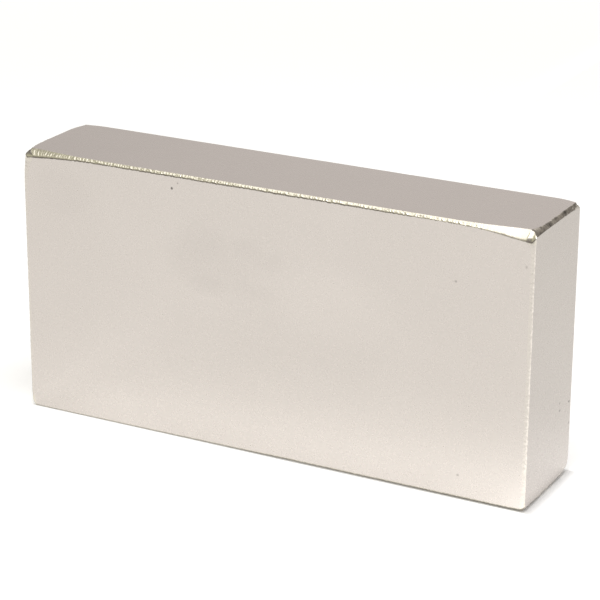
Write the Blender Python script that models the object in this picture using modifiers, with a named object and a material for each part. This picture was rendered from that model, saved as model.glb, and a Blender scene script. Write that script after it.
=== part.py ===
"""Block magnet: one sintered block, ground flat on its six faces, with tumbled edges and corners.

Metres, +Z up. The block stands on one of its long narrow faces. X runs along its length, Y through
its thickness, from pole face to pole face, and Z up its height. The origin is the middle of its
underside.
"""

import bmesh
import bpy

# The block from face to face
BLOCK_LENGTH = 0.100
BLOCK_THICKNESS = 0.020
BLOCK_HEIGHT = 0.050

# How far each kind of edge is worn back along both of its faces: the long edges run along X,
# the end edges along Y and the uprights along Z
LONG_EDGE_BREAK = 0.0006
END_EDGE_BREAK = 0.0006
UPRIGHT_EDGE_BREAK = 0.0003

# How far each corner is worn back along its three edges, and how far the rim of that cut is eased
CORNER_BREAK = 0.002
CORNER_RIM_BREAK = 0.0004

# A worn edge is a flat with eased sides: the facets across it, and its profile, where 0.5 is an arc
EDGE_FACETS = 3
EDGE_PROFILE = 0.4

# An edge runs along an axis if the cosine between them is above this
ALONG_AXIS = 0.999

# Bare nickel, as linear red, green, blue and alpha
NICKEL_COLOUR = (0.68, 0.63, 0.55, 1.0)
NICKEL_ROUGHNESS = 0.3


def clear_scene():
    for leftover in list(bpy.data.objects):
        bpy.data.objects.remove(leftover)


def part_collection(name):
    collection = bpy.data.collections.new(name)
    bpy.context.scene.collection.children.link(collection)
    return collection


def nickel_plating():
    nickel = bpy.data.materials.new("nickel_plating")
    nickel.use_nodes = True
    shader = nickel.node_tree.nodes["Principled BSDF"]
    shader.inputs["Base Color"].default_value = NICKEL_COLOUR
    shader.inputs["Metallic"].default_value = 1.0
    shader.inputs["Roughness"].default_value = NICKEL_ROUGHNESS
    return nickel


def edge_break(edge):
    """How far an edge of the corner-cut block is worn back, told from the way it runs."""
    run = (edge.verts[1].co - edge.verts[0].co).normalized()
    for axis, width in enumerate((LONG_EDGE_BREAK, END_EDGE_BREAK, UPRIGHT_EDGE_BREAK)):
        if abs(run[axis]) > ALONG_AXIS:
            return width
    return CORNER_RIM_BREAK


def widest_edge_break():
    return max(LONG_EDGE_BREAK, END_EDGE_BREAK, UPRIGHT_EDGE_BREAK, CORNER_RIM_BREAK)


def ground_block():
    """The block ground to size, its corners cut, each edge weighted by how far it is worn back."""
    block = bmesh.new()
    bmesh.ops.create_cube(block, size=1.0)
    bmesh.ops.scale(block, vec=(BLOCK_LENGTH, BLOCK_THICKNESS, BLOCK_HEIGHT), verts=block.verts)
    bmesh.ops.translate(block, vec=(0.0, 0.0, BLOCK_HEIGHT / 2), verts=block.verts)
    bmesh.ops.bevel(block, geom=block.verts[:], affect="VERTICES", offset=CORNER_BREAK, segments=1)

    weights = block.edges.layers.float.new("bevel_weight_edge")
    for edge in block.edges:
        edge[weights] = edge_break(edge) / widest_edge_break()
    for face in block.faces:
        face.smooth = True
    return block


def magnet_block(collection):
    mesh = bpy.data.meshes.new("magnet_block")
    shape = ground_block()
    shape.to_mesh(mesh)
    shape.free()
    block = bpy.data.objects.new("magnet_block", mesh)
    block.data.materials.append(nickel_plating())
    collection.objects.link(block)

    worn_edges = block.modifiers.new("worn edges", "BEVEL")
    worn_edges.limit_method = "WEIGHT"
    worn_edges.width = widest_edge_break()
    worn_edges.segments = EDGE_FACETS
    worn_edges.profile = EDGE_PROFILE
    worn_edges.use_clamp_overlap = False
    worn_edges.harden_normals = True
    return block


def main():
    clear_scene()
    magnet_block(part_collection("block_magnet"))


main()
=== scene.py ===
"""The looks of the block magnet: a ground, tumbled and nickel-plated block on a white studio floor.

The block is modelled again over its solid, at the same size, with the uneven wear that tumbling gives
its edges and corners, and with the satin grain, pits and smudges of its plating.
"""

import math

import bmesh
import bpy
from mathutils import Matrix, Vector, noise


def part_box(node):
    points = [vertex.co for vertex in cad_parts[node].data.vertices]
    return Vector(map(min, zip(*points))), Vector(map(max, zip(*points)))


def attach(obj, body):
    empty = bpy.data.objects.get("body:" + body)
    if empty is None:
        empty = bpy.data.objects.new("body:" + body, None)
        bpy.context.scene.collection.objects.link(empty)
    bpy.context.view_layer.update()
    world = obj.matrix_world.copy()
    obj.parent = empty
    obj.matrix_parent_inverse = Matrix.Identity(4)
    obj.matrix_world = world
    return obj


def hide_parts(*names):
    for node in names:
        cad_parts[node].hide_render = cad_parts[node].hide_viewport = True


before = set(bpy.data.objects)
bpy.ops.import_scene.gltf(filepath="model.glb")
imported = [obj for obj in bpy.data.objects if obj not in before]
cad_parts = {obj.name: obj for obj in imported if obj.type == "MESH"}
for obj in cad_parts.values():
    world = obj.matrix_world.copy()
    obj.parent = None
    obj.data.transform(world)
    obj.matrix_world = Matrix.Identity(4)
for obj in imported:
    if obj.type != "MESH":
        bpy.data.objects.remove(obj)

MM = 0.001
X, Y, Z = range(3)
AXES = (X, Y, Z)

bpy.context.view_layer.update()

# The block's own box, from the frame
BLOCK_LOW, BLOCK_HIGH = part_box("magnet_block")
BLOCK_SIZE = BLOCK_HIGH - BLOCK_LOW
BLOCK_CENTRE = (BLOCK_LOW + BLOCK_HIGH) / 2

# How nearly a direction lies along an axis to count as doing so, how near a face a point lies on it,
# and what keeps a weight above nothing
STRAIGHT = 0.9999
ON_FACE = 1e-7
LEAST_WEIGHT = 1e-12

# The block before wear: flat faces in cells, and a flat strip of facets along each edge. Wear moves
# what lies within the strips, and a little more for rounding.
FACE_CELL = 5.0 * MM
STRIP_WIDTH = 0.6 * MM
STRIP_FACETS = 8
FLAT_PROFILE = 0.25
EDGE_ANGLE = math.radians(45)
WORN_WIDTH = 1.01 * STRIP_WIDTH

# Across their run the strips are cut into thin slices, finest along the long edges
SLICE = {X: 0.1 * MM, Y: 0.14 * MM, Z: 0.14 * MM}
MOST_CUTS = 100

# How far the edges are worn back at mid-run, in millimetres along the first and the second face beside
# them, by the axis that they run along
EDGE_WEAR = {X: (0.65, 0.65), Y: (0.58, 0.93), Z: (0.8, 0.8)}

# How much more each edge is worn at a corner, in millimetres: along the first and the second face
# beside it, and how far from the corner that has faded. A corner is named by its sides: 0 is left,
# front or bottom, and 1 is right, back or top.
CORNER_WEAR = {
    (0, 0, 1): {X: (1.6, 0.75, 8.0), Y: (0.5, 0.3, 3.0), Z: (1.4, 1.4, 3.2)},
    (1, 0, 1): {X: (1.4, 1.35, 7.5), Y: (0.9, 0.15, 3.0), Z: (1.0, 0.2, 1.7)},
    (1, 1, 1): {X: (1.2, 0.6, 2.0), Y: (-0.1, 0.4, 3.0), Z: (0.1, 0.1, 1.5)},
    (0, 1, 1): {X: (0.8, 1.1, 3.0), Y: (0.8, 0.4, 3.0), Z: (0.5, 0.5, 2.5)},
    (0, 0, 0): {X: (-0.3, -0.3, 45.0), Y: (0.3, 0.3, 3.0), Z: (0.5, 0.5, 1.4)},
    (1, 0, 0): {X: (0.1, 0.1, 3.0), Y: (0.1, 0.1, 3.0), Z: (0.2, 0.2, 2.0)},
    (1, 1, 0): {X: (2.4, 0.6, 2.0), Y: (0.6, 0.6, 2.0), Z: (2.2, 2.2, 1.3)},
    (0, 1, 0): {X: (0.5, 0.5, 4.0), Y: (0.4, 0.4, 3.0), Z: (0.5, 0.5, 2.5)},
}

# How a worn strip bends, facet by facet: its turn in degrees away from the face that rolls over into
# the strip, and its width as a share of the wear. The other face ends crisply.
LONG_BEND = ((8, 0.15), (18, 0.15), (30, 0.15), (42, 0.15), (46, 0.16), (47, 0.16), (48, 0.16), (50, 0.14))
END_BEND = ((8, 0.14), (18, 0.16), (28, 0.17), (37, 0.18), (44, 0.18), (49, 0.18), (53, 0.18), (57, 0.16))
SMOOTH_BEND = ((33, 0.10), (41, 0.18), (44, 0.15), (45, 0.15), (46, 0.15), (47, 0.15), (48, 0.15), (49, 0.15))
UPRIGHT_BEND = ((3, 0.30), (6, 0.25), (12, 0.15), (25, 0.12), (40, 0.10), (50, 0.10), (60, 0.10), (70, 0.10))
BEND = {X: LONG_BEND, Y: END_BEND, Z: UPRIGHT_BEND}
ROLLED_FACE = {X: Y, Y: Z, Z: Y}

# The worn edges wander, and small nicks scallop them, strongly below the long edges and faintly
# elsewhere
WANDER = 0.05 * MM
WANDER_LENGTH = 7.0 * MM
NICK = 0.12 * MM
NICK_LENGTH = {X: 0.45 * MM, Y: 0.7 * MM, Z: 0.75 * MM}
NICK_DEPTH = {X: 0.038 * MM, Y: 0.04 * MM, Z: 0.045 * MM}
FAINT_NICKS = 0.25

# How much of the wandering and of the nicks is lost where a corner is worn most
WANDER_LOST = 0.7
NICKS_LOST = 0.8

# The beads between the nicks: their flanks and crowns, and how far and how finely they stray sideways
BEAD_FLANK = 0.35
BEAD_CROWN = 0.7
BEAD_STRAY = 0.35
BEAD_STRAY_PITCH = 1.7

# The hammered skin of the strips: how deep, and how long its dimples are
HAMMER = {X: 0.012 * MM, Y: 0.03 * MM, Z: 0.008 * MM}
HAMMER_LENGTH = {X: 0.3 * MM, Y: 0.75 * MM, Z: 0.45 * MM}

# What sets the patterns of the twelve edges apart: a step by axis and by each of the two sides
SEED_STEPS = (11.7, 3.3, 7.9)
FACE_SEED_STEP = 5.0

# How far from a corner an edge is worn smooth, without nicks, and the one edge whose bend turns
# smooth over a longer run, between these distances from its corner
SMOOTH_END = 0.5 * MM
SMOOTH_END_RUN = (1.5 * SMOOTH_END, 0.5 * SMOOTH_END)
LONG_SMOOTH_ENDS = {((1, 0, 1), X): 7.0 * MM, ((1, 0, 1), Y): 1.6 * MM, ((1, 0, 1), Z): 3.0 * MM}
SMOOTH_RUNS = {((1, 0, 1), X): (36.0 * MM, 3.0 * MM)}

# Faces that meet at less than this are shaded as one smooth surface
SMOOTH_ANGLE = math.radians(60)

# The plating, on the ground faces and on the worn edges. The edges are smoother from wear, and their lighter,
# warmer colour is a painted highlight tint.
NICKEL_COLOUR = (0.605, 0.563, 0.527)
EDGE_WEAR_AND_HIGHLIGHT_COLOUR = (0.640, 0.602, 0.530)
# How much of the worn edges' roughness and painted highlight tint the upright edges take
UPRIGHT_WEAR_AND_HIGHLIGHT = 0.3
NICKEL_ROUGHNESS = 0.28
EDGE_ROUGHNESS = 0.22

# Its grain is a noise, which keeps about within this range. GRAIN_PITCH over its lump size is its scale.
GRAIN_RANGE = (0.3, 0.7)
GRAIN_PITCH = 0.6
GRAIN_SHARPNESS = 0.55
SATIN_SIZE = 0.45 * MM
SATIN_TONE = 0.007
SATIN_ROUGHNESS = 0.02
SATIN_BUMP = 0.05
SATIN_DEPTH = 0.01 * MM
PATCH_SIZE = 22.0 * MM
PATCH_EDGES = (0.35, 0.65)
PATCH_LEAST = 0.3
CLOUD_SIZE = 9.0 * MM
CLOUD_TONE = 0.012

# The strips along the ends are mottled, this far in from the end and from the top or the bottom
END_STRIP = 2.0 * MM
MOTTLE_SIZE = 0.8 * MM
EDGE_MOTTLE = 0.65

# Its marks lie in this skin of their face. Each has a place on the face, a size along and up it, and a
# strength, which is below 0 where the mark is lighter.
FACE_SKIN = 0.01 * MM
FRONT_SMUDGES = (
    ((-11.6, 30.3), (5.0, 2.4), 0.030),
    ((-3.5, 38.8), (4.2, 2.4), 0.022),
    ((0.5, 36.8), (4.0, 2.2), 0.022),
    ((-13.0, 39.8), (6.0, 6.0), 0.016),
    ((-2.3, 30.8), (6.0, 2.2), 0.020),
    ((-11.0, 35.0), (11.0, 7.0), 0.030),
    ((12.5, 31.0), (15.0, 9.0), -0.032),
    ((-42.0, 43.0), (8.0, 6.0), 0.020),
)
FRONT_PITS = (
    ((-18.7, 47.3), (0.30, 0.34), 0.75),
    ((-17.5, 48.4), (0.20, 0.20), 0.45),
    ((36.1, 39.4), (0.30, 0.26), 0.35),
    ((37.5, 4.4), (0.34, 0.30), 0.30),
    ((48.6, 44.0), (0.30, 0.36), 0.22),
)
END_PITS = (
    ((8.8, 13.7), (0.42, 0.26), 0.75),
    ((4.4, 14.9), (0.42, 0.26), 0.35),
    ((4.5, 13.5), (0.46, 0.30), 0.45),
    ((9.2, 9.5), (0.42, 0.26), 0.40),
)


def deselect_all():
    bpy.ops.object.select_all(action="DESELECT")


def select_edges(block, wanted):
    """In edit mode, selects just the edges that wanted is true of."""
    bpy.ops.mesh.select_mode(type="EDGE")
    bpy.ops.mesh.select_all(action="DESELECT")
    shape = bmesh.from_edit_mesh(block.data)
    for edge in shape.edges:
        if wanted(edge):
            edge.select_set(True)
    bmesh.update_edit_mesh(block.data)


def axis_of(direction):
    """X, Y or Z for a direction along that axis, either way, and None for any other."""
    for axis in AXES:
        if abs(direction[axis]) > STRAIGHT * direction.length:
            return axis
    return None


def run_of(edge):
    return axis_of(edge.verts[1].co - edge.verts[0].co)


def others_than(axis):
    return [other for other in AXES if other != axis]


def depth(point):
    """How far a point lies inside the nearest face along each axis."""
    return Vector(BLOCK_SIZE[axis] / 2 - abs(point[axis] - BLOCK_CENTRE[axis]) for axis in AXES)


def sawn_block():
    """The block at its full size, its faces cut into cells."""
    deselect_all()
    bpy.ops.mesh.primitive_cube_add(size=1.0, location=BLOCK_CENTRE, scale=BLOCK_SIZE)
    block = bpy.context.object
    block.name = "nickel_block"
    block.data.name = "nickel_block"
    bpy.ops.object.transform_apply(location=True, rotation=True, scale=True)
    bpy.ops.object.mode_set(mode="EDIT")
    for axis in AXES:
        select_edges(block, lambda edge: run_of(edge) == axis)
        bpy.ops.mesh.subdivide(number_cuts=round(BLOCK_SIZE[axis] / FACE_CELL) - 1)
    bpy.ops.object.mode_set(mode="OBJECT")
    return block


def ease_edges(block):
    """Gives every edge of the block its strip of facets with one weighted bevel."""
    shape = bmesh.new()
    shape.from_mesh(block.data)
    weights = shape.edges.layers.float.new("bevel_weight_edge")
    for edge in shape.edges:
        if edge.calc_face_angle() > EDGE_ANGLE:
            edge[weights] = 1.0
    shape.to_mesh(block.data)
    shape.free()
    strips = block.modifiers.new("strips", "BEVEL")
    strips.limit_method = "WEIGHT"
    strips.width = STRIP_WIDTH
    strips.segments = STRIP_FACETS
    strips.profile = FLAT_PROFILE
    strips.use_clamp_overlap = False
    bpy.ops.object.modifier_apply(modifier=strips.name)


def slice_strips(block):
    """Cuts the strips across their run into thin slices."""
    bpy.ops.object.mode_set(mode="EDIT")

    def cuts_for(edge):
        axis = run_of(edge)
        flat = all(axis_of(face.normal) is not None for face in edge.link_faces)
        if axis is None or flat or edge.calc_length() < STRIP_WIDTH:
            return 0
        return min(round(edge.calc_length() / SLICE[axis]) - 1, MOST_CUTS)

    for axis in AXES:
        shape = bmesh.from_edit_mesh(block.data)
        numbers = {cuts_for(edge) for edge in shape.edges if run_of(edge) == axis}
        for number in sorted(numbers - {0}):
            select_edges(block, lambda edge: run_of(edge) == axis and cuts_for(edge) == number)
            bpy.ops.mesh.subdivide(number_cuts=number)
    bpy.ops.object.mode_set(mode="OBJECT")


def sides_of(point):
    return tuple(1 if point[axis] > BLOCK_CENTRE[axis] else 0 for axis in AXES)


def edge_seed(axis, sides):
    """A number of its own for each of the twelve edges."""
    first, second = others_than(axis)
    return SEED_STEPS[0] * axis + SEED_STEPS[1] * sides[first] + SEED_STEPS[2] * sides[second]


def bead(axis, along, across, seed):
    """Uneven beads along an edge: 0 in the nicks between them, 1 at their crowns."""
    spot = Vector((along, across, 0)) / NICK_LENGTH[axis]
    spot.z = seed
    spot.x += BEAD_STRAY * noise.noise(spot * BEAD_STRAY_PITCH)
    distances, points = noise.voronoi(spot)
    return min(1.0, (distances[1] - distances[0]) / BEAD_FLANK) ** BEAD_CROWN


def raggedness(d, sides, axis):
    """0 where the end of an edge is worn smooth, and 1 along the rest of it."""
    smooth = LONG_SMOOTH_ENDS.get((sides, axis), SMOOTH_END)
    return min(1.0, max(0.0, d[axis] / smooth - 0.5))


def smoothness(d, sides, axis):
    """0 where a strip has the bend of its own edge, and 1 where it has the smooth one."""
    start, end = SMOOTH_RUNS.get((sides, axis), SMOOTH_END_RUN)
    return min(1.0, max(0.0, (start - d[axis]) / (start - end)))


def worn_leg(axis, inward, point, d, sides):
    """How far the edge along axis is worn back here, along the face that inward is measured in."""
    seed = edge_seed(axis, sides)
    face = others_than(axis).index(inward)
    extra, reach = CORNER_WEAR[sides][axis][face], CORNER_WEAR[sides][axis][2]
    fade = math.exp(-(d[axis] / (reach * MM)) ** 2)
    wander = noise.noise(Vector((point[axis] / WANDER_LENGTH, seed, inward * FACE_SEED_STEP)))
    coarse = 1.0 if inward == Z and axis == X else FAINT_NICKS
    leg = (EDGE_WEAR[axis][face] + extra * fade) * MM
    leg += WANDER * wander * (1 - WANDER_LOST * fade)
    nick = raggedness(d, sides, axis) * (0.5 - bead(axis, point[axis], 0, seed))
    return leg + NICK * coarse * nick * (1 - NICKS_LOST * fade)


def below_face(bend, rolled):
    """How deep a bent strip lies below a face beside it, at each facet's border from that face on."""
    depths = [0.0]
    facets = bend if rolled else reversed(bend)
    for turn, width in facets:
        rise = math.sin(math.radians(turn)) if rolled else math.cos(math.radians(turn))
        depths.append(depths[-1] + width * rise)
    return depths


RAGGED_DEPTHS = {(j, i): below_face(BEND[j], ROLLED_FACE[j] == i) for j in AXES for i in AXES}
SMOOTH_DEPTHS = {(j, i): below_face(SMOOTH_BEND, ROLLED_FACE[j] == i) for j in AXES for i in AXES}


def share(depths, place):
    """The depth at this place across a strip, from 0 to 1."""
    facet = min(int(place * STRIP_FACETS), STRIP_FACETS - 1)
    part = place * STRIP_FACETS - facet
    return depths[facet] * (1 - part) + depths[facet + 1] * part


def placed(i, j, point, d, sides):
    """How deep the worn edge along j puts a point below the face across i."""
    leg = worn_leg(j, i, point, d, sides)
    smooth = smoothness(d, sides, j)
    place = min(1.0, d[i] / STRIP_WIDTH)
    ragged_depth = share(RAGGED_DEPTHS[j, i], place)
    smooth_depth = share(SMOOTH_DEPTHS[j, i], place)
    below = leg * (ragged_depth * (1 - smooth) + smooth_depth * smooth)
    if d[i] <= STRIP_WIDTH:
        return below
    return below + (d[i] - STRIP_WIDTH) * (FACE_CELL - below) / (FACE_CELL - STRIP_WIDTH)


def dent(j, point, d, sides):
    """How deep the nicks and the hammered skin of the edge along j go here, most in mid-strip."""
    i, k = others_than(j)
    across = abs(point[i] - BLOCK_CENTRE[i]) - BLOCK_SIZE[i] / 2
    across -= abs(point[k] - BLOCK_CENTRE[k]) - BLOCK_SIZE[k] / 2
    middle = 4 * d[i] * d[k] / (d[i] + d[k]) ** 2
    nick = 1 - bead(j, point[j], across, edge_seed(j, sides))
    nicks = NICK_DEPTH[j] * nick * raggedness(d, sides, j)
    return (nicks + HAMMER[j] * noise.noise(point / HAMMER_LENGTH[j])) * middle


def wear(block):
    """Moves every point near an edge inwards from the flat block, by how worn the edge is there."""
    for vertex in block.data.vertices:
        point = vertex.co.copy()
        d = depth(point)
        if sorted(d)[1] > WORN_WIDTH:
            continue
        sides = sides_of(point)
        worn = d.copy()
        for i in AXES:
            if d[i] < FACE_CELL:
                j, k = others_than(i)
                j_weight = d[j] ** 2 + LEAST_WEIGHT
                k_weight = d[k] ** 2 + LEAST_WEIGHT
                total = placed(i, j, point, d, sides) * j_weight + placed(i, k, point, d, sides) * k_weight
                worn[i] = total / (j_weight + k_weight)
        for j in AXES:
            i, k = others_than(j)
            if ON_FACE < d[i] < STRIP_WIDTH and ON_FACE < d[k] < STRIP_WIDTH:
                deeper = dent(j, point, d, sides)
                worn[i] += deeper
                worn[k] += deeper
        for axis in AXES:
            sign = 1 if sides[axis] else -1
            vertex.co[axis] = BLOCK_CENTRE[axis] + sign * (BLOCK_SIZE[axis] / 2 - worn[axis])
    block.data.update()


def mark_wear_and_highlight(block):
    """Gives the plating attributes: how worn it is, which also sets its painted highlight tint, and 1 where
    it is worn beside an end.
    """
    worn = block.data.attributes.new("wear", "FLOAT", "POINT")
    on_end = block.data.attributes.new("end_wear", "FLOAT", "POINT")
    for vertex in block.data.vertices:
        d = depth(vertex.co)
        if min(d) > ON_FACE:
            level = d[Z] < END_STRIP
            mottled = level and d[X] < END_STRIP and d[Y] > END_STRIP
            worn.data[vertex.index].value = 1.0 if level else UPRIGHT_WEAR_AND_HIGHLIGHT
            on_end.data[vertex.index].value = 1.0 if mottled else 0.0


def mark_face_borders(block):
    """Keeps the ground faces flat in the shading: their borders with the worn strips are sharp."""
    bpy.ops.object.mode_set(mode="EDIT")

    def borders_a_face(edge):
        flat = [axis_of(face.normal) is not None for face in edge.link_faces]
        return flat.count(True) == 1

    select_edges(block, borders_a_face)
    bpy.ops.mesh.mark_sharp()
    bpy.ops.object.mode_set(mode="OBJECT")
    bpy.ops.object.shade_smooth_by_angle(angle=SMOOTH_ANGLE, keep_sharp_edges=True)


def nickel_block(plating):
    block = sawn_block()
    ease_edges(block)
    slice_strips(block)
    wear(block)
    mark_wear_and_highlight(block)
    mark_face_borders(block)
    block.data.materials.clear()
    block.data.materials.append(plating)
    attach(block, "root")
    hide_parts("magnet_block")


def add_node(tree, kind, settings=None, inputs=None):
    """Adds a node. A setting is a property of it, and an input is a value or another node's output."""
    made = tree.nodes.new(kind)
    for name, value in (settings or {}).items():
        setattr(made, name, value)
    for name, value in (inputs or {}).items():
        if isinstance(value, bpy.types.NodeSocket):
            tree.links.new(value, made.inputs[name])
        else:
            made.inputs[name].default_value = value
    return made


def math_node(tree, operation, first, second=0.0):
    return add_node(tree, "ShaderNodeMath", {"operation": operation}, {0: first, 1: second}).outputs[0]


def vector_node(tree, operation, first, second=(0, 0, 0), output="Vector"):
    """A vector made from one or two others, or with output Value a number made from them."""
    made = add_node(tree, "ShaderNodeVectorMath", {"operation": operation}, {0: first, 1: second})
    return made.outputs[output]


def split(tree, place):
    """The three parts of a place, by axis."""
    return add_node(tree, "ShaderNodeSeparateXYZ", None, {"Vector": place}).outputs


def faded(tree, value, low, high, kind="SMOOTHSTEP", at_low=0.0, at_high=1.0):
    """A value that goes from at_low to at_high as the one given goes from low to high."""
    inputs = {"Value": value, "From Min": low, "From Max": high, "To Min": at_low, "To Max": at_high}
    return add_node(tree, "ShaderNodeMapRange", {"interpolation_type": kind}, inputs).outputs["Result"]


def mixed(tree, factor, first, second):
    """A colour between two others."""
    inputs = {"Factor": factor, "A": first, "B": second}
    return add_node(tree, "ShaderNodeMix", {"data_type": "RGBA"}, inputs).outputs["Result"]


def rgba(colour):
    return (*colour, 1.0)


def grain(tree, place, size, detail=2.0):
    """A noise with lumps of the size given."""
    inputs = {"Vector": place, "Scale": GRAIN_PITCH / size, "Detail": detail, "Roughness": GRAIN_SHARPNESS}
    return add_node(tree, "ShaderNodeTexNoise", None, inputs).outputs["Fac"]


def swing(tree, noise_value, reach):
    """A noise turned into a value that swings to each side of 0 by the reach given."""
    return faded(tree, noise_value, *GRAIN_RANGE, "LINEAR", -reach, reach)


def marks(tree, place, facing, across, spots):
    """The marks on one end or side of the block, added up.

    across is the axis that the face's first coordinate runs along, and facing is 1 on that face.
    """
    apart = split(tree, place)
    total = None
    for (along, up), (width, height), strength in spots:
        aside = math_node(tree, "SUBTRACT", apart[across], along * MM)
        above = math_node(tree, "SUBTRACT", apart[Z], up * MM)
        aside = math_node(tree, "DIVIDE", aside, width * MM)
        above = math_node(tree, "DIVIDE", above, height * MM)
        aside = math_node(tree, "POWER", aside, 2.0)
        above = math_node(tree, "POWER", above, 2.0)
        reach = math_node(tree, "ADD", aside, above)
        mark = faded(tree, reach, 0.0, 1.0, at_low=strength, at_high=0.0)
        total = mark if total is None else math_node(tree, "ADD", total, mark)
    return math_node(tree, "MULTIPLY", total, facing)


def nickel_plating():
    """Bright nickel over ground faces: a satin grain, faint clouds and smudges, a few dark pits."""
    plating = bpy.data.materials.new("nickel_plating")
    plating.use_nodes = True
    tree = plating.node_tree
    shader = tree.nodes["Principled BSDF"]
    place = add_node(tree, "ShaderNodeTexCoord").outputs["Object"]
    worn = add_node(tree, "ShaderNodeAttribute", {"attribute_name": "wear"}).outputs["Fac"]
    on_end = add_node(tree, "ShaderNodeAttribute", {"attribute_name": "end_wear"}).outputs["Fac"]
    apart = split(tree, place)

    front = math_node(tree, "LESS_THAN", apart[Y], BLOCK_LOW[Y] + FACE_SKIN)
    right = math_node(tree, "GREATER_THAN", apart[X], BLOCK_HIGH[X] - FACE_SKIN)
    smudges = marks(tree, place, front, X, FRONT_SMUDGES)
    front_pits = marks(tree, place, front, X, FRONT_PITS)
    end_pits = marks(tree, place, right, Y, END_PITS)
    pits = math_node(tree, "ADD", front_pits, end_pits)

    satin = grain(tree, place, SATIN_SIZE, detail=3.0)
    patches = faded(tree, grain(tree, place, PATCH_SIZE, detail=1.0), *PATCH_EDGES, at_low=PATCH_LEAST)
    clouds = swing(tree, grain(tree, place, CLOUD_SIZE, detail=3.0), CLOUD_TONE)
    speckle = math_node(tree, "MULTIPLY", swing(tree, satin, SATIN_TONE), patches)
    tone = math_node(tree, "ADD", math_node(tree, "ADD", clouds, speckle), 1.0)
    tone = math_node(tree, "SUBTRACT", tone, smudges)
    mottle = swing(tree, grain(tree, place, MOTTLE_SIZE), EDGE_MOTTLE)
    tone = math_node(tree, "ADD", tone, math_node(tree, "MULTIPLY", mottle, on_end))
    tone = math_node(tree, "MULTIPLY", tone, math_node(tree, "SUBTRACT", 1.0, pits))

    # The worn edges take a lighter, warmer colour, a painted highlight tint
    colour = mixed(tree, worn, rgba(NICKEL_COLOUR), rgba(EDGE_WEAR_AND_HIGHLIGHT_COLOUR))
    toned = add_node(tree, "ShaderNodeVectorMath", {"operation": "SCALE"}, {0: colour, "Scale": tone})
    tree.links.new(toned.outputs[0], shader.inputs["Base Color"])

    roughness = faded(tree, worn, 0.0, 1.0, "LINEAR", NICKEL_ROUGHNESS, EDGE_ROUGHNESS)
    roughness = math_node(tree, "ADD", roughness, swing(tree, satin, SATIN_ROUGHNESS))
    tree.links.new(roughness, shader.inputs["Roughness"])

    inputs = {"Strength": SATIN_BUMP, "Distance": SATIN_DEPTH, "Height": satin}
    bump = add_node(tree, "ShaderNodeBump", None, inputs)
    tree.links.new(bump.outputs["Normal"], shader.inputs["Normal"])
    shader.inputs["Metallic"].default_value = 1.0
    return plating


nickel_block(nickel_plating())

# The floor of white paper
FLOOR_SIZE = 8.0
FLOOR_DROP = 0.02 * MM
FLOOR_COLOUR = (0.8, 0.8, 0.8)
FLOOR_WHITE = 0.38

# The shadow at the block's foot: how far it reaches past the ends and the sides, with a last number
# that changes nothing on a flat floor, and how much white is left in it, from the left end to the right
CONTACT_REACH = (2.3 * MM, 0.6 * MM, 1.0)
CONTACT_WHITE = ((0.0, 0.8), (0.35, 0.68), (0.5, 0.42), (0.75, 0.32), (0.9, 0.22), (1.0, 0.22))

# How much whiter the floor is far off, and between which distances it grows so
FAR_WHITE = 0.25
FAR_REACH = (0.25, 0.6)

# The light that the bright front and the ends throw on the floor beside them, from left to right
FRONT_GLOW = (
    (0.0, 0.10),
    (0.05, 0.14),
    (0.11, 0.21),
    (0.2, 0.25),
    (0.5, 0.26),
    (0.8, 0.31),
    (0.92, 0.41),
    (1.0, 0.72),
)
FRONT_GLOW_REACH = ((0.0, 20.0 * MM), (1.0, 27.0 * MM))
END_GLOW = 0.16
END_GLOW_REACH = 5.0 * MM

# The patch of painted shade on the floor off behind the right end
PAINTED_SHADE_LOSS = 0.175
PAINTED_SHADE_SIDE = (50.0 * MM, 62.0 * MM)
PAINTED_SHADE_FRONT = (8.0 * MM, 38.0 * MM)


def along_block(tree, place, stops):
    """A value that goes from stop to stop along the block, from 0 at its left end to 1 at its right."""
    along = faded(tree, split(tree, place)[X], BLOCK_LOW[X], BLOCK_HIGH[X], "LINEAR")
    value = stops[0][1]
    for (start, before), (end, after) in zip(stops, stops[1:]):
        step = faded(tree, along, start, end, "LINEAR", 0.0, after - before)
        value = math_node(tree, "ADD", value, step)
    return value


def hump(tree, distance):
    """Falls from 1 at no distance to nearly 0 at twice the reach."""
    squared = math_node(tree, "MULTIPLY", math_node(tree, "POWER", distance, 2.0), -1.0)
    return math_node(tree, "EXPONENT", squared)


def glow_on_floor(tree, place):
    """How much light the block's front and its ends throw on the floor beside them."""
    apart = split(tree, place)
    ahead = math_node(tree, "SUBTRACT", BLOCK_LOW[Y], apart[Y])
    front = math_node(tree, "GREATER_THAN", ahead, 0.0)
    reach = along_block(tree, place, FRONT_GLOW_REACH)
    front = math_node(tree, "MULTIPLY", front, hump(tree, math_node(tree, "DIVIDE", ahead, reach)))
    front = math_node(tree, "MULTIPLY", front, along_block(tree, place, FRONT_GLOW))
    aside = math_node(tree, "SUBTRACT", apart[X], BLOCK_CENTRE[X])
    aside = math_node(tree, "SUBTRACT", math_node(tree, "ABSOLUTE", aside), BLOCK_SIZE[X] / 2)
    end = math_node(tree, "GREATER_THAN", aside, 0.0)
    end = math_node(tree, "MULTIPLY", end, hump(tree, math_node(tree, "DIVIDE", aside, END_GLOW_REACH)))
    end = math_node(tree, "MULTIPLY", end, END_GLOW)
    return math_node(tree, "MAXIMUM", front, end)


def painted_shade_patch(tree, place):
    """How much painted shade darkens the floor off behind the right end, where only that end looks."""
    apart = split(tree, place)
    aside = faded(tree, apart[X], *PAINTED_SHADE_SIDE)
    behind = faded(tree, apart[Y], *PAINTED_SHADE_FRONT, at_high=PAINTED_SHADE_LOSS)
    return math_node(tree, "MULTIPLY", aside, behind)


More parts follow.
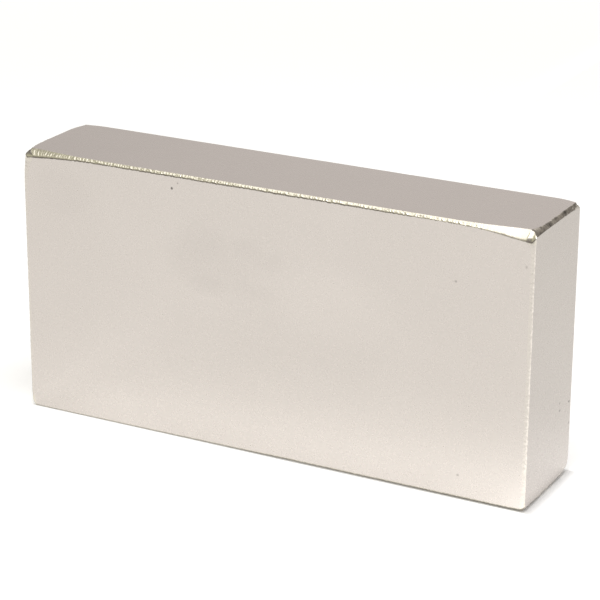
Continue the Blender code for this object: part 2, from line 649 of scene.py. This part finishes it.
def away_from_block(tree, place):
    """0 under the block, and 1 from a short way beside it."""
    offset = vector_node(tree, "SUBTRACT", place, (BLOCK_CENTRE[X], BLOCK_CENTRE[Y], 0))
    offset = vector_node(tree, "ABSOLUTE", offset)
    outside = vector_node(tree, "SUBTRACT", offset, (BLOCK_SIZE[X] / 2, BLOCK_SIZE[Y] / 2, 1))
    outside = vector_node(tree, "MAXIMUM", outside)
    gap = vector_node(tree, "DIVIDE", outside, CONTACT_REACH)
    return faded(tree, vector_node(tree, "LENGTH", gap, output="Value"), 0.0, 1.0)


def floor_paper():
    """White paper, which the camera and the nickel see as the same white backdrop, with painted light beside
    the block, painted shade behind its right end and a painted shadow at its foot.
    """
    paper = bpy.data.materials.new("floor_paper")
    paper.use_nodes = True
    tree = paper.node_tree
    tree.nodes.clear()
    place = add_node(tree, "ShaderNodeTexCoord").outputs["Object"]
    path = add_node(tree, "ShaderNodeLightPath")
    seen = math_node(tree, "MAXIMUM", path.outputs["Is Camera Ray"], path.outputs["Is Glossy Ray"])
    seen = math_node(tree, "MAXIMUM", seen, path.outputs["Is Transmission Ray"])
    white = math_node(tree, "ADD", glow_on_floor(tree, place), FLOOR_WHITE)
    # Painted shade on the floor off behind the right end
    white = math_node(tree, "SUBTRACT", white, painted_shade_patch(tree, place))
    distance = vector_node(tree, "LENGTH", place, output="Value")
    white = math_node(tree, "ADD", white, faded(tree, distance, *FAR_REACH, at_high=FAR_WHITE))
    away = away_from_block(tree, place)
    contact = along_block(tree, place, CONTACT_WHITE)
    in_shadow = math_node(tree, "MULTIPLY", contact, math_node(tree, "SUBTRACT", 1.0, away))
    kept = math_node(tree, "ADD", away, in_shadow)
    white = math_node(tree, "MULTIPLY", white, kept)
    strength = math_node(tree, "MULTIPLY", white, seen)
    diffuse = add_node(tree, "ShaderNodeBsdfDiffuse", None, {"Color": rgba(FLOOR_COLOUR)})
    glow = add_node(tree, "ShaderNodeEmission", None, {"Strength": strength})
    both = add_node(tree, "ShaderNodeAddShader", None, {0: diffuse.outputs[0], 1: glow.outputs[0]})
    add_node(tree, "ShaderNodeOutputMaterial", None, {"Surface": both.outputs[0]})
    return paper


def studio_floor():
    deselect_all()
    bpy.ops.mesh.primitive_plane_add(size=FLOOR_SIZE, location=(0, 0, BLOCK_LOW[Z] - FLOOR_DROP))
    floor = bpy.context.object
    floor.name = "studio_floor"
    floor.data.materials.append(floor_paper())


studio_floor()

# The room around: dim, with a pale wall behind the block, one at its right and a warm one up at its left
ROOM_COLOUR = (0.26, 0.24, 0.225)
PALE_WALL_WAY = (-0.30, 0.89, 0.33)
PALE_WALL_EDGES = (0.84, 1.0)
PALE_WALL_COLOUR = (0.81, 0.770, 0.750)
END_WALL_WAY = (0.80, -0.35, 0.30)
END_WALL_EDGES = (0.50, 0.90)
END_WALL_COLOUR = (0.90, 0.88, 0.86)
WARM_WALL_WAY = (-0.60, -0.25, 0.76)
WARM_WALL_EDGES = (0.77, 0.985)
WARM_WALL_COLOUR = (0.70, 0.69, 0.55)


def studio_room():
    room = bpy.data.worlds.new("studio_room")
    room.use_nodes = True
    tree = room.node_tree
    way = add_node(tree, "ShaderNodeTexCoord").outputs["Generated"]
    colour = rgba(ROOM_COLOUR)
    walls = (
        (PALE_WALL_WAY, PALE_WALL_EDGES, PALE_WALL_COLOUR),
        (END_WALL_WAY, END_WALL_EDGES, END_WALL_COLOUR),
        (WARM_WALL_WAY, WARM_WALL_EDGES, WARM_WALL_COLOUR),
    )
    for wall_way, edges, wall_colour in walls:
        nearness = vector_node(tree, "DOT_PRODUCT", way, Vector(wall_way).normalized(), "Value")
        colour = mixed(tree, faded(tree, nearness, *edges), colour, rgba(wall_colour))
    tree.links.new(colour, tree.nodes["Background"].inputs["Color"])
    bpy.context.scene.world = room


studio_room()

# The lamps, both overhead: where each hangs, how far it is across and along, and how bright it is
KEY_PLACE = (0.105, -0.12, 0.6)
KEY_SIZE = (0.25, 0.50)
KEY_GLOW = 4.5
SIDE_PLACE = (-0.185, -0.12, 0.6)
SIDE_SIZE = (0.33, 0.50)
SIDE_GLOW = 1.3


def softbox(name, place, size, glow):
    """A soft rectangular lamp that looks straight down, as bright as a surface of the strength given."""
    lamp = bpy.data.lights.new(name, "AREA")
    lamp.shape = "RECTANGLE"
    lamp.size, lamp.size_y = size
    lamp.energy = glow * math.pi * size[0] * size[1]
    rig = bpy.data.objects.new(name, lamp)
    bpy.context.scene.collection.objects.link(rig)
    rig.location = place
    rig.visible_camera = False


softbox("key", KEY_PLACE, KEY_SIZE, KEY_GLOW)
softbox("key_edge", SIDE_PLACE, SIDE_SIZE, SIDE_GLOW)

# The camera, at the photograph's viewing angle
CAMERA_PLACE = (0.18414, -0.34817, 0.17156)
CAMERA_TURN = math.radians(27.669)
CAMERA_DIP = math.radians(20.218)
CAMERA_ROLL = math.radians(0.344)
CAMERA_LENS = 141.06
CAMERA_SENSOR = 36.0


def studio_camera():
    lens = bpy.data.cameras.new("camera")
    lens.lens = CAMERA_LENS
    lens.sensor_width = CAMERA_SENSOR
    camera = bpy.data.objects.new("camera", lens)
    bpy.context.scene.collection.objects.link(camera)
    turn = Matrix.Rotation(CAMERA_TURN, 4, "Z")
    dip = Matrix.Rotation(math.pi / 2 - CAMERA_DIP, 4, "X")
    roll = Matrix.Rotation(CAMERA_ROLL, 4, "Z")
    camera.matrix_world = Matrix.Translation(CAMERA_PLACE) @ turn @ dip @ roll
    bpy.context.scene.camera = camera


studio_camera()
bpy.context.scene.view_settings.view_transform = "Standard"
